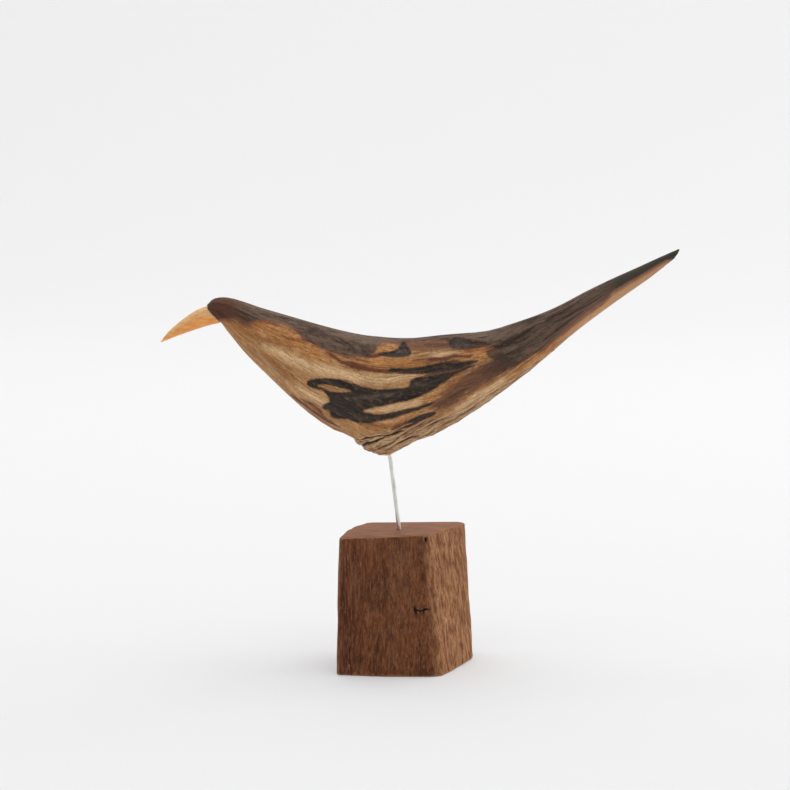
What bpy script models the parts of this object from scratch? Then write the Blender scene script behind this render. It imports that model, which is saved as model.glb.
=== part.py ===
"""A carved wooden bird on a steel wire that stands in a rough block of wood.

Blender 4.5, metres, +Z up. The beak points to -X and the tail to +X, and the bird's plane of symmetry is
y = 0. The origin is on the flat face under the block, below the middle of the block.
"""

import math

import bmesh
import bpy
import numpy as np
from mathutils import Matrix, Vector

MM = 0.001
GAP = 0.3 * MM  # clearance between two pieces that touch

# --- driving dimensions -------------------------------------------------------------------------------

BLOCK_HEIGHT = 80.0 * MM
BLOCK_CORNER_RADIUS = 2.0 * MM  # upright arrises, worn round
BLOCK_EDGE_RADIUS = 1.1 * MM    # arrises around the top and bottom faces

# Corners of the block, from the front left and counter-clockwise: (x, y) at the bottom, (x, y) at the top.
BLOCK_CORNERS_MM = (
    ((-39.8, -28.0), (-38.2, -22.0)),
    ((-10.0, -31.5), (-11.5, -18.5)),
    ((16.0, -31.7), (12.5, -13.0)),
    ((22.0, -29.8), (17.5, -8.5)),
    ((27.5, -21.2), (26.0, 3.5)),
    ((41.2, 5.0), (37.0, 17.5)),
    ((36.0, 20.0), (32.5, 21.5)),
    ((-22.0, 21.0), (-21.0, 19.5)),
    ((-33.5, 11.0), (-30.5, 11.5)),
)

ROD_DIAMETER = 2.5 * MM
ROD_IN_BLOCK = 28.0 * MM
ROD_IN_BIRD = 28.0 * MM
ROD_END_CHAMFER = 0.3 * MM
ROD_LEAN = math.radians(7.0)  # the top leans towards the beak
ROD_FOOT = Vector((-3.0 * MM, 0.0, BLOCK_HEIGHT))
ROD_SIDES = 20

# The bird's ribs, from the face that holds the beak to the cut end of the tail. Each is a flat section
# across the bird: (x, z) of its top on the back, (x, z) of its bottom on the keel, and half its width.
BODY_RIBS_MM = (
    ((-113.8, 211.8), (-105.2, 202.2), 5.8),
    ((-110.8, 214.9), (-104.0, 200.2), 6.9),
    ((-106.6, 216.3), (-102.5, 197.8), 7.8),
    ((-101.4, 216.3), (-100.2, 194.9), 8.6),
    ((-94.6, 214.6), (-96.4, 189.8), 9.6),
    ((-85.4, 211.4), (-90.2, 182.3), 11.2),
    ((-76.0, 208.5), (-82.4, 174.2), 13.0),
    ((-62.5, 204.5), (-69.8, 161.8), 15.4),
    ((-48.7, 200.5), (-55.4, 148.8), 17.4),
    ((-35.0, 197.0), (-41.0, 139.0), 18.5),
    ((-23.5, 194.7), (-29.5, 134.0), 18.7),
    ((-19.0, 194.2), (-26.0, 129.8), 18.6),
    ((-15.3, 193.9), (-21.0, 126.4), 18.5),
    ((-10.7, 193.5), (-15.4, 124.3), 18.4),
    ((-6.0, 193.2), (-8.4, 124.0), 18.3),
    ((-1.5, 193.1), (-3.8, 127.2), 18.1),
    ((6.6, 193.2), (5.5, 131.4), 17.7),
    ((20.4, 194.7), (20.6, 137.8), 16.8),
    ((34.0, 195.7), (36.0, 146.8), 15.2),
    ((48.0, 197.2), (51.8, 157.8), 13.0),
    ((62.0, 201.4), (66.8, 169.3), 10.6),
    ((78.0, 207.0), (81.7, 181.9), 8.4),
    ((89.3, 212.0), (94.2, 192.9), 7.2),
    ((103.0, 219.4), (108.0, 204.0), 5.9),
    ((116.7, 226.2), (121.8, 214.2), 4.7),
    ((135.0, 234.3), (140.0, 227.3), 3.4),
    ((157.5, 244.4), (154.6, 239.0), 2.1),
)
BODY_RINGS_PER_RIB = 2
BODY_SIDES = 24
BODY_WIDEST = 0.43   # how far down a rib the body is widest
BACK_ROUNDNESS = 0.92  # exponent of the section's upper half: below 1 is a fuller back
KEEL_SHARPNESS = 1.25  # exponent of its lower half: above 1 draws it in to a keel

# The beak's ribs, from its root to its tip, in the same form.
BEAK_RIBS_MM = (
    ((-114.0, 211.3), (-105.6, 202.0), 5.2),
    ((-119.2, 209.4), (-110.6, 200.9), 4.8),
    ((-124.6, 205.9), (-117.0, 199.0), 4.1),
    ((-130.0, 202.0), (-124.0, 196.6), 3.3),
    ((-134.4, 198.3), (-130.0, 194.5), 2.5),
    ((-138.4, 194.1), (-135.6, 192.3), 1.5),
    ((-140.8, 190.7), (-140.2, 190.4), 0.5),
)
# The whittled section of the beak: (share of the way down the rib, share of the half width), top to bottom.
BEAK_FACETS = ((0.0, 0.18), (0.16, 0.66), (0.52, 1.0), (0.86, 0.62), (1.0, 0.2))

DOWEL_DIAMETER = 3.0 * MM
DOWEL_LENGTH = 15.0 * MM
DOWEL_SLOPE = math.radians(20.0)  # below level, towards the beak
DOWEL_SIDES = 16

# --- helpers ------------------------------------------------------------------------------------------


def clear_scene():
    """Removes every object that the file opened with."""
    for old_object in list(bpy.data.objects):
        bpy.data.objects.remove(old_object, do_unlink=True)


def make_material(name, colour, roughness, metallic=0.0):
    """A plain Principled material."""
    material = bpy.data.materials.new(name)
    material.use_nodes = True
    shader = material.node_tree.nodes["Principled BSDF"]
    shader.inputs["Base Color"].default_value = (*colour, 1.0)
    shader.inputs["Roughness"].default_value = roughness
    shader.inputs["Metallic"].default_value = metallic
    material.diffuse_color = (*colour, 1.0)
    return material


def make_object(name, bm, material):
    """Links an object that holds the bmesh, shaded smooth up to 40 degrees."""
    mesh = bpy.data.meshes.new(name)
    bm.to_mesh(mesh)
    bm.free()
    mesh.shade_smooth()
    mesh.set_sharp_from_angle(angle=math.radians(40.0))
    new_object = bpy.data.objects.new(name, mesh)
    bpy.context.scene.collection.objects.link(new_object)
    if material:
        mesh.materials.append(material)
    return new_object


def face_outwards(bm):
    """Turns every face of a closed bmesh to point out."""
    bm.normal_update()
    bmesh.ops.recalc_face_normals(bm, faces=bm.faces)


def loft(rings):
    """A closed bmesh skin over rings of equal length, with a flat face on each end."""
    bm = bmesh.new()
    loops = [[bm.verts.new(point) for point in ring] for ring in rings]
    for near, far in zip(loops, loops[1:]):
        for index in range(len(near)):
            following = (index + 1) % len(near)
            bm.faces.new((near[index], near[following], far[following], far[index]))
    bm.faces.new(loops[0])
    bm.faces.new(loops[-1])
    face_outwards(bm)
    return bm


def smooth_through(knots, values, places):
    """A smooth curve through the values at the knots, read at the places."""
    slopes = np.gradient(values, knots, axis=0)
    start = np.clip(np.searchsorted(knots, places, side="right") - 1, 0, len(knots) - 2)
    width = (knots[start + 1] - knots[start])[:, None]
    along = (places - knots[start])[:, None] / width
    from_start = (1 + 2 * along) * (1 - along) ** 2 * values[start]
    from_end = along ** 2 * (3 - 2 * along) * values[start + 1]
    start_slope = along * (1 - along) ** 2 * width * slopes[start]
    end_slope = along ** 2 * (along - 1) * width * slopes[start + 1]
    return from_start + from_end + start_slope + end_slope


def smooth_ribs(ribs_mm, rings_per_rib):
    """The ribs in metres, with smooth ones between: rows of top x, top z, bottom x, bottom z, half width."""
    rows = np.array([(*top, *bottom, half_width) for top, bottom, half_width in ribs_mm]) * MM
    middles = (rows[:, 0:2] + rows[:, 2:4]) / 2
    steps = np.linalg.norm(np.diff(middles, axis=0), axis=1)
    knots = np.concatenate(([0.0], np.cumsum(steps)))
    inner = [np.linspace(a, b, rings_per_rib, endpoint=False) for a, b in zip(knots, knots[1:])]
    places = np.append(np.concatenate(inner), knots[-1])
    return smooth_through(knots, rows, places)


def place_on_rib(rib, down, across):
    """The point that lies a share of the way down a rib and a distance across it."""
    top = Vector((rib[0], 0.0, rib[1]))
    bottom = Vector((rib[2], 0.0, rib[3]))
    return top.lerp(bottom, down) + Vector((0.0, across, 0.0))


def add_cylinder_to(bm, diameter, length, sides, frame):
    """A capped cylinder in the bmesh, centred on the frame and lying along the frame's Z."""
    bmesh.ops.create_cone(
        bm, cap_ends=True, segments=sides, radius1=diameter / 2, radius2=diameter / 2, depth=length, matrix=frame
    )
    face_outwards(bm)


def make_bore(name, target, diameter, length, sides, frame):
    """Drills a round bore into the target, with a hidden cutter."""
    bm = bmesh.new()
    add_cylinder_to(bm, diameter, length, sides, frame)
    cutter = make_object(name, bm, None)
    cutter.hide_render = True
    cutter.display_type = "WIRE"
    modifier = target.modifiers.new(name, "BOOLEAN")
    modifier.operation = "DIFFERENCE"
    modifier.solver = "EXACT"
    modifier.object = cutter
    return cutter


def attach(child, parent):
    """Parents an object that is modelled in place, and leaves it where it is."""
    child.parent = parent
    child.matrix_parent_inverse = parent.matrix_world.inverted()


def make_axis(name, frame):
    """An empty on a joint's axis, with its Z along the axis."""
    axis = bpy.data.objects.new(name, None)
    axis.empty_display_size = 10 * MM
    axis.matrix_world = frame
    bpy.context.scene.collection.objects.link(axis)
    return axis


# --- frames -------------------------------------------------------------------------------------------

ROD_DIRECTION = Vector((-math.sin(ROD_LEAN), 0.0, math.cos(ROD_LEAN)))
ROD_TURN = Matrix.Rotation(-ROD_LEAN, 4, "Y")

BODY_RIBS = smooth_ribs(BODY_RIBS_MM, BODY_RINGS_PER_RIB)
BEAK_FACE_CENTRE = place_on_rib(BODY_RIBS[0], 0.5, 0.0)
DOWEL_FRAME = Matrix.Translation(BEAK_FACE_CENTRE) @ Matrix.Rotation(math.pi / 2 - DOWEL_SLOPE, 4, "Y")


def distance_to_keel():
    """How far up the rod's axis, from its foot, the wire enters the bird."""
    keel = np.array([(rib[2], rib[3]) for rib in BODY_RIBS])
    along = (keel[:, 0] - ROD_FOOT.x) * ROD_DIRECTION.x + (keel[:, 1] - ROD_FOOT.z) * ROD_DIRECTION.z
    aside = (keel[:, 0] - ROD_FOOT.x) * ROD_DIRECTION.z - (keel[:, 1] - ROD_FOOT.z) * ROD_DIRECTION.x
    below_back = np.argsort(np.abs(aside))[:2]
    return float(along[below_back].mean())


ROD_TOP = distance_to_keel() + ROD_IN_BIRD

# --- the pieces ---------------------------------------------------------------------------------------


def make_base_block():
    """A rough offcut: eight corners, wider below than above, with worn arrises and a blind hole."""
    bottom = [(x * MM, y * MM, 0.0) for (x, y), _ in BLOCK_CORNERS_MM]
    top = [(x * MM, y * MM, BLOCK_HEIGHT) for _, (x, y) in BLOCK_CORNERS_MM]
    bm = loft([bottom, top])
    upright = [edge for edge in bm.edges if abs(edge.verts[0].co.z - edge.verts[1].co.z) > BLOCK_HEIGHT / 2]
    bmesh.ops.bevel(bm, geom=upright, offset=BLOCK_CORNER_RADIUS, segments=3, profile=0.5, affect="EDGES")
    level = [edge for edge in bm.edges if abs(edge.verts[0].co.z - edge.verts[1].co.z) < BLOCK_HEIGHT / 2]
    bmesh.ops.bevel(bm, geom=level, offset=BLOCK_EDGE_RADIUS, segments=2, profile=0.5, affect="EDGES")
    block = make_object("base_block", bm, make_material("block_wood", (0.135, 0.052, 0.028), 0.85))
    bore_frame = Matrix.Translation(ROD_FOOT) @ ROD_TURN
    make_bore(
        "rod_hole_in_block", block, ROD_DIAMETER + 2 * GAP, 2 * (ROD_IN_BLOCK + GAP), ROD_SIDES, bore_frame
    )
    return block


def make_stand_rod(axis):
    """A straight length of round wire with its ends' burrs taken off."""
    length = ROD_IN_BLOCK + ROD_TOP
    centre = ROD_FOOT + ROD_DIRECTION * (ROD_TOP - ROD_IN_BLOCK) / 2
    bm = bmesh.new()
    add_cylinder_to(bm, ROD_DIAMETER, length, ROD_SIDES, Matrix.Translation(centre) @ ROD_TURN)
    rims = [edge for edge in bm.edges if any(len(face.verts) > 4 for face in edge.link_faces)]
    bmesh.ops.bevel(bm, geom=rims, offset=ROD_END_CHAMFER, segments=1, affect="EDGES")
    rod = make_object("stand_rod", bm, make_material("rod_steel", (0.55, 0.55, 0.55), 0.3, 1.0))
    attach(rod, axis)
    return rod


def body_ring(rib):
    """One section of the body: a full back, sides that are fullest above the middle, and a keel."""
    ring = []
    for index in range(BODY_SIDES):
        angle = 2 * math.pi * index / BODY_SIDES
        height = math.cos(angle)
        side = math.sin(angle)
        if height > 0:
            down = BODY_WIDEST * (1 - height)
            swell = abs(side) ** BACK_ROUNDNESS
        else:
            down = BODY_WIDEST - (1 - BODY_WIDEST) * height
            swell = abs(side) ** KEEL_SHARPNESS
        ring.append(place_on_rib(rib, down, math.copysign(swell * rib[4], side)))
    return ring


def make_bird_body(axis):
    """Head, body and tail in one piece, with a hole for the wire and a hole for the beak's peg."""
    bm = loft([body_ring(rib) for rib in BODY_RIBS])
    body = make_object("bird_body", bm, make_material("bird_wood", (0.30, 0.16, 0.085), 0.5))
    bore_centre = ROD_FOOT + ROD_DIRECTION * (ROD_TOP + GAP - ROD_IN_BIRD)
    bore_frame = Matrix.Translation(bore_centre) @ ROD_TURN
    make_bore("rod_hole_in_bird", body, ROD_DIAMETER + 2 * GAP, 2 * ROD_IN_BIRD, ROD_SIDES, bore_frame)
    make_bore(
        "dowel_hole_in_head", body, DOWEL_DIAMETER + 2 * GAP, DOWEL_LENGTH + 2 * GAP, DOWEL_SIDES, DOWEL_FRAME
    )
    attach(body, axis)
    return body


def beak_ring(rib):
    """One whittled section of the beak, down one side and up the other."""
    left = [place_on_rib(rib, down, -share * rib[4]) for down, share in BEAK_FACETS]
    right = [place_on_rib(rib, down, share * rib[4]) for down, share in reversed(BEAK_FACETS)]
    return left + right


def make_beak(axis):
    """The beak, whose flat root lies one gap off the face of the head."""
    head_face = BODY_RIBS[0]
    outward = Vector((head_face[3] - head_face[1], 0.0, head_face[0] - head_face[2])).normalized()
    root_point = BEAK_FACE_CENTRE + outward * GAP
    rings = [beak_ring(rib) for rib in smooth_ribs(BEAK_RIBS_MM, 2)]
    rings[0] = [point - outward * (point - root_point).dot(outward) for point in rings[0]]
    beak = make_object("beak", loft(rings), make_material("beak_wood", (0.62, 0.33, 0.12), 0.45))
    make_bore(
        "dowel_hole_in_beak", beak, DOWEL_DIAMETER + 2 * GAP, DOWEL_LENGTH + 2 * GAP, DOWEL_SIDES, DOWEL_FRAME
    )
    attach(beak, axis)
    return beak


def make_beak_dowel(axis):
    """The peg that holds the beak on the head."""
    bm = bmesh.new()
    add_cylinder_to(bm, DOWEL_DIAMETER, DOWEL_LENGTH, DOWEL_SIDES, DOWEL_FRAME)
    dowel = make_object("beak_dowel", bm, make_material("dowel_wood", (0.60, 0.42, 0.24), 0.6))
    attach(dowel, axis)
    return dowel


def main():
    """Builds the whole object."""
    clear_scene()
    make_base_block()
    rod_axis = make_axis("rod_swivel_axis", Matrix.Translation(ROD_FOOT) @ ROD_TURN)
    make_stand_rod(rod_axis)
    lift_axis = make_axis("bird_lift_axis", Matrix.Translation(ROD_FOOT + ROD_DIRECTION * ROD_TOP) @ ROD_TURN)
    make_bird_body(lift_axis)
    make_beak(lift_axis)
    make_beak_dowel(lift_axis)


main()
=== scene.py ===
"""The looks of the carved wooden bird on its wire and block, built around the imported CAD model."""

import itertools
import math
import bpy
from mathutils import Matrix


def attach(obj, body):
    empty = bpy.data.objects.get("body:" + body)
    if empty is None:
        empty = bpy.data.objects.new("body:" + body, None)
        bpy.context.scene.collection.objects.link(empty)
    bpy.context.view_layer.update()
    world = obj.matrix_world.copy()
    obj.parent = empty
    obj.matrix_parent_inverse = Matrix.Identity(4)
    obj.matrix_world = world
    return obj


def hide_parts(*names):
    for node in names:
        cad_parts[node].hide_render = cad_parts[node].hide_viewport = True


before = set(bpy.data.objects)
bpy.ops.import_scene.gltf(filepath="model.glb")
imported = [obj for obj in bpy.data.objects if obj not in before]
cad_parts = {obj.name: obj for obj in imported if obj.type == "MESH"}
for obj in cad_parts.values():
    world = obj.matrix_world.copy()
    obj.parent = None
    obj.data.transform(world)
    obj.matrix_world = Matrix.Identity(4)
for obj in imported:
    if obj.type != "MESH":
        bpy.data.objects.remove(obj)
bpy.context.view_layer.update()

from types import SimpleNamespace

import bpy
import numpy as np
from mathutils import Vector

MM = 0.001

BIRD_VOXEL = 0.64 * MM
BEAK_VOXEL = 0.34 * MM
BLOCK_VOXEL = 0.68 * MM
# How far each round of smoothing moves the points back, as a share of its move, to keep the volume.
PUSH_BACK = 1.04
# Rounds of smoothing that crests and grooves are measured against.
CREST_ROUNDS = 6
# Length of the slices in which a piece's upper and lower lines are read, in millimetres.
SLICE = 2.0


# --- numbers and fields ----------------------------------------------------------------------------


def hashed(cells, seed):
    """A fixed number from -1 to 1 for each cell of a lattice."""
    x, y, z = (cells[:, axis].astype(np.int64) for axis in range(3))
    mixed = x * 374761393 + y * 668265263 + z * 1440662683 + seed * 1274126177
    mixed = (mixed ^ (mixed >> 13)) * 1274126177
    mixed = mixed ^ (mixed >> 16)
    return (mixed & 0xFFFF) / 32767.5 - 1.0


def soft_noise(points, wavelengths, seed):
    """Smooth noise from -1 to 1, with its own wavelength along each axis."""
    scaled = points / np.array(wavelengths)
    cells = np.floor(scaled)
    part = scaled - cells
    part = part * part * (3.0 - 2.0 * part)
    total = np.zeros(len(points))
    for corner in itertools.product((0, 1), repeat=3):
        weight = np.where(corner, part, 1.0 - part).prod(axis=1)
        total += weight * hashed(cells + corner, seed)
    return total


def ramp(values, low, high):
    """0 at low, 1 at high, and smooth between them; low may be the larger."""
    part = np.clip((values - low) / (high - low), 0.0, 1.0)
    return part * part * (3.0 - 2.0 * part)


def outline_depth(places, outline):
    """How far inside a closed outline each place is; negative outside."""
    corners = np.array(outline, float)
    nearest = np.full(len(places), np.inf)
    inside = np.zeros(len(places), bool)
    for start, end in zip(corners, np.roll(corners, -1, axis=0)):
        edge = end - start
        offset = places - start
        along = np.clip((offset @ edge) / (edge @ edge), 0.0, 1.0)
        nearest = np.minimum(nearest, np.hypot(*(offset - along[:, None] * edge).T))
        crosses = (start[1] > places[:, 1]) != (end[1] > places[:, 1])
        slope = edge[0] / edge[1] if edge[1] else 0.0
        inside ^= crosses & (places[:, 0] < start[0] + slope * (places[:, 1] - start[1]))
    return np.where(inside, nearest, -nearest)


def stroke_depth(places, stroke):
    """How far inside a brush stroke each place is. The stroke's rows are x, z and half its width."""
    rows = np.array(stroke, float)
    best = np.full(len(places), -np.inf)
    for start, end in zip(rows, rows[1:]):
        edge = end[:2] - start[:2]
        offset = places - start[:2]
        along = np.clip((offset @ edge) / (edge @ edge), 0.0, 1.0)
        distance = np.hypot(*(offset - along[:, None] * edge).T)
        best = np.maximum(best, start[2] + along * (end[2] - start[2]) - distance)
    return best


def deepest(depths):
    """The union of several marks."""
    return np.maximum.reduce(list(depths))


def rounded(outline):
    """A closed outline with its corners cut twice over."""
    corners = np.array(outline, float)
    for _ in range(2):
        after = np.roll(corners, -1, axis=0)
        early = 0.75 * corners + 0.25 * after
        late = 0.25 * corners + 0.75 * after
        corners = np.stack([early, late], axis=1).reshape(-1, 2)
    return corners


def depth_in_outlines(places, outlines):
    """How far inside the nearest of several rounded outlines each place is."""
    return deepest(outline_depth(places, rounded(outline)) for outline in outlines)


def depth_in_strokes(places, strokes):
    """How far inside the nearest of several strokes each place is."""
    return deepest(stroke_depth(places, stroke) for stroke in strokes)


def edge_height(x, edge):
    """The height of an edge, given as x and z, at each x."""
    return np.interp(x, *np.array(edge, float).T)


def height_over(places, edge):
    """How far above an edge each place is."""
    return places[:, 1] - edge_height(places[:, 0], edge)


# --- meshes ----------------------------------------------------------------------------------------


def read_rows(elements, name, width, kind=float):
    """One row of numbers for each of a mesh's elements."""
    flat = np.empty(len(elements) * width, kind)
    elements.foreach_get(name, flat)
    return flat.reshape(-1, width)


def get_points(mesh):
    """The mesh's vertices, in millimetres."""
    return read_rows(mesh.vertices, "co", 3) / MM


def set_points(mesh, points):
    """Moves the mesh's vertices to the points, in millimetres."""
    mesh.vertices.foreach_set("co", (points * MM).ravel())
    mesh.update()


def get_normals(mesh):
    """The mesh's vertex normals."""
    return read_rows(mesh.vertices, "normal", 3)


def get_edges(mesh):
    """The two vertices of each edge."""
    return read_rows(mesh.edges, "vertices", 2, int)


def neighbour_mean(values, edges):
    """For each vertex, the mean of its neighbours' rows of values."""
    count = np.bincount(edges.ravel(), minlength=len(values))[:, None]
    total = np.empty_like(values)
    for column in range(values.shape[1]):
        at_first = np.bincount(edges[:, 0], values[edges[:, 1], column], len(values))
        at_second = np.bincount(edges[:, 1], values[edges[:, 0], column], len(values))
        total[:, column] = at_first + at_second
    return total / np.maximum(count, 1)


def smoothed(points, edges, rounds, share, push_back=0.0):
    """The points eased towards their neighbours in rounds, by each point's own share.

    With a push_back near 1, each round then moves them part of the way back, which keeps the volume.
    """
    for _ in range(rounds):
        points = points + share[:, None] * (neighbour_mean(points, edges) - points)
        if push_back:
            points = points - push_back * share[:, None] * (neighbour_mean(points, edges) - points)
    return points


def pushed_out(mesh, points, relief):
    """The mesh's points moved out along its normals by the relief, in millimetres."""
    return points + get_normals(mesh) * relief[:, None]


def crest_height(mesh, points):
    """How far each vertex stands proud of its smoothed surroundings, in millimetres; negative in grooves."""
    eased = smoothed(points, get_edges(mesh), CREST_ROUNDS, np.full(len(points), 0.6))
    return ((points - eased) * get_normals(mesh)).sum(axis=1)


def drop_share(points):
    """How far down from a piece's upper line to its lower line each vertex is, from 0 to 1."""
    x, z = points[:, 0], points[:, 2]
    starts = np.arange(x.min(), x.max(), SLICE)
    nearest = np.digitize(x, starts) - 1
    slices = [z[nearest == index] for index in range(len(starts))]
    top = np.interp(x, starts + SLICE / 2, [heights.max() for heights in slices])
    bottom = np.interp(x, starts + SLICE / 2, [heights.min() for heights in slices])
    return np.clip((top - z) / np.maximum(top - bottom, 1.0), 0.0, 1.0)


def remeshed_copy(node, name, voxel):
    """A dense, even copy of a CAD node's mesh, in a new object."""
    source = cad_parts[node]
    piece = bpy.data.objects.new(name, source.data.copy())
    bpy.context.scene.collection.objects.link(piece)
    remesh = piece.modifiers.new("even_grid", "REMESH")
    remesh.mode = "VOXEL"
    remesh.voxel_size = voxel
    evaluated = piece.evaluated_get(bpy.context.evaluated_depsgraph_get())
    dense = bpy.data.meshes.new_from_object(evaluated)
    piece.modifiers.clear()
    piece.data = dense
    dense.name = name
    dense.materials.clear()
    dense.shade_smooth()
    return piece


def set_fields(mesh, fields):
    """Stores each field's number or vector for each vertex, for the material to read."""
    for name, values in fields.items():
        kind, slot = ("FLOAT", "value") if values.ndim == 1 else ("FLOAT_VECTOR", "vector")
        attribute = mesh.attributes.new(name, kind, "POINT")
        attribute.data.foreach_set(slot, values.astype(np.float32).ravel())


# --- materials -------------------------------------------------------------------------------------

# Places of the sockets that a Mix node uses for colours.
MIX_SHARE, MIX_FIRST, MIX_SECOND = 0, 6, 7
MIX_RESULT = 2


def srgb(red, green, blue):
    """A linear colour with alpha, from the 0 to 255 values of a colour chart."""
    parts = [channel / 255 for channel in (red, green, blue)]
    linear = [part / 12.92 if part <= 0.04045 else ((part + 0.055) / 1.055) ** 2.4 for part in parts]
    return (*linear, 1.0)


class Recipe:
    """One node material, with short ways to add its nodes."""

    def __init__(self, name):
        self.material = bpy.data.materials.new(name)
        self.material.use_nodes = True
        self.tree = self.material.node_tree
        self.shader = self.tree.nodes["Principled BSDF"]

    def plug(self, value, socket):
        """Links a socket to an input, or sets a plain value on it."""
        if isinstance(value, bpy.types.NodeSocket):
            self.tree.links.new(value, socket)
        else:
            socket.default_value = value

    def add(self, kind, inputs, **settings):
        """Adds a node with its settings and inputs."""
        node = self.tree.nodes.new(kind)
        for key, value in settings.items():
            setattr(node, key, value)
        for key, value in inputs.items():
            self.plug(value, node.inputs[key])
        return node

    def field(self, name):
        """A number that the mesh holds for each vertex."""
        return self.add("ShaderNodeAttribute", {}, attribute_name=name).outputs["Fac"]

    def vector_field(self, name):
        """A vector that the mesh holds for each vertex."""
        return self.add("ShaderNodeAttribute", {}, attribute_name=name).outputs["Vector"]

    def math(self, operation, first, second):
        """One sum."""
        return self.add("ShaderNodeMath", {0: first, 1: second}, operation=operation).outputs[0]

    def plus(self, first, second):
        """Two values added."""
        return self.math("ADD", first, second)

    def minus(self, first, second):
        """The first value less the second."""
        return self.math("SUBTRACT", first, second)

    def times(self, first, second):
        """Two values multiplied."""
        return self.math("MULTIPLY", first, second)

    def stretched(self, vector, factors):
        """A vector multiplied by its own factor along each axis."""
        return self.add("ShaderNodeVectorMath", {0: vector, 1: factors}, operation="MULTIPLY").outputs[0]

    def place(self):
        """Where each point is on the object, in millimetres."""
        return self.stretched(self.add("ShaderNodeTexCoord", {}).outputs["Object"], (1 / MM,) * 3)

    def noise(self, vector, wavelengths, detail, rough, distortion=0.0):
        """Noise from 0 to 1 with its own wavelength, in millimetres, along each axis of the vector."""
        scaled = self.stretched(vector, tuple(1.0 / length for length in wavelengths))
        looks = {"Scale": 1.0, "Detail": detail, "Roughness": rough, "Distortion": distortion}
        node = self.add("ShaderNodeTexNoise", {"Vector": scaled, **looks}, noise_dimensions="3D")
        return node.outputs["Fac"]

    def centred(self, noise, size):
        """A noise moved to lie evenly about 0, and made as large as size."""
        return self.times(self.minus(noise, 0.5), size)

    def between(self, value, low, high, to_low, to_high, curve="LINEAR"):
        """The value carried from one range to another."""
        inputs = {"Value": value, "From Min": low, "From Max": high, "To Min": to_low, "To Max": to_high}
        return self.add("ShaderNodeMapRange", inputs, interpolation_type=curve).outputs["Result"]

    def step(self, value, low, high, strength=1.0):
        """0 at low, the strength at high, and smooth between them; low may be the larger."""
        return self.between(value, low, high, 0.0, strength, "SMOOTHSTEP")

    def mark(self, name, wobble, low, high, strength=1.0):
        """How strongly a field's mark shows, with the wobble moving its edge."""
        return self.step(self.plus(self.field(name), wobble), low, high, strength)

    def mix(self, share, first, second):
        """Two colours mixed, with the second one's share."""
        inputs = {MIX_SHARE: share, MIX_FIRST: first, MIX_SECOND: second}
        return self.add("ShaderNodeMix", inputs, data_type="RGBA").outputs[MIX_RESULT]

    def layered(self, colour, *layers):
        """A colour with others laid over it in turn. Each layer is its share and its colour."""
        for share, layer_colour in layers:
            colour = self.mix(share, colour, layer_colour)
        return colour

    def shade(self, colour, value):
        """The colour made darker or lighter by a factor."""
        return self.add("ShaderNodeHueSaturation", {"Color": colour, "Value": value}).outputs["Color"]

    def bump(self, height, depth, normal=None):
        """A bump of the given depth, in millimetres, for heights from 0 to 1."""
        inputs = {"Height": height, "Distance": depth * MM, "Strength": 1.0}
        if normal is not None:
            inputs["Normal"] = normal
        return self.add("ShaderNodeBump", inputs).outputs["Normal"]

    def finish(self, colour, roughness, normal, specular):
        """Plugs the colour, the roughness and the bumps into the shader."""
        self.plug(colour, self.shader.inputs["Base Color"])
        self.plug(roughness, self.shader.inputs["Roughness"])
        self.plug(normal, self.shader.inputs["Normal"])
        self.shader.inputs["Specular IOR Level"].default_value = specular
        return self.material


# --- the bird's pattern, as x and z in millimetres on its side --------------------------------------

# Lower edge of the dark cap, from the face of the head along the back, and up the tail to its tip.
CAP_EDGE = (
    (-116, 198), (-107, 203), (-100, 205.5), (-94, 205.5), (-91.5, 204), (-89, 202.8), (-86, 204),
    (-80, 204.5), (-70, 202), (-64, 199.5), (-57, 194), (-50, 190.5), (-45, 187.5), (-38, 186),
    (-31, 184), (-21, 183.5), (-18, 186), (-15, 190), (-10, 191.4), (-2, 191), (6, 191.4), (16, 191.8),
    (24, 192), (26.5, 190.2), (29, 188.5), (37, 187.8), (44, 189), (50, 188.5), (56, 185), (61, 181),
    (65, 179.5), (70, 181.5), (76, 185.5), (84, 191), (95, 200), (103, 207.5), (113, 213.5),
    (119, 220.3), (126, 224.6), (142, 234.2), (150, 238.5), (153, 238.5), (154, 232), (160, 232),
)
# The large charcoal patch in the middle of the flank, with the pale wedge that runs into it from the tail.
GREAT_PATCH = (
    (-56, 170.5), (-46, 172.5), (-37, 171.5), (-27.5, 169), (-21.5, 165.5), (0.5, 166), (4, 167.5),
    (4.5, 170), (7, 171.5), (18.5, 173), (29, 176), (43, 180), (29, 174.5), (22.5, 170), (17, 166),
    (8, 161), (-2.5, 158.5), (-14, 156), (-23.5, 154), (-24, 152), (-14.5, 150.5), (-1.5, 153.5),
    (9, 156), (18, 158.5), (15.5, 156.5), (-2.5, 150.5), (-8, 149), (-16.5, 146.5), (-22.5, 145.5),
    (-33, 147.5), (-39.5, 147.5), (-43.5, 149.5), (-43, 152.5), (-47, 153.5), (-47, 156.5), (-41.5, 158),
    (-45, 164.5), (-51, 165.5), (-55, 167.5),
)
# A pale island in it.
PALE_ISLANDS = (
    ((-50.5, 167.4), (-46, 168.7), (-37.5, 167.5), (-28.5, 165), (-33, 163.9), (-41, 164.2), (-47, 165.6)),
)
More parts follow.
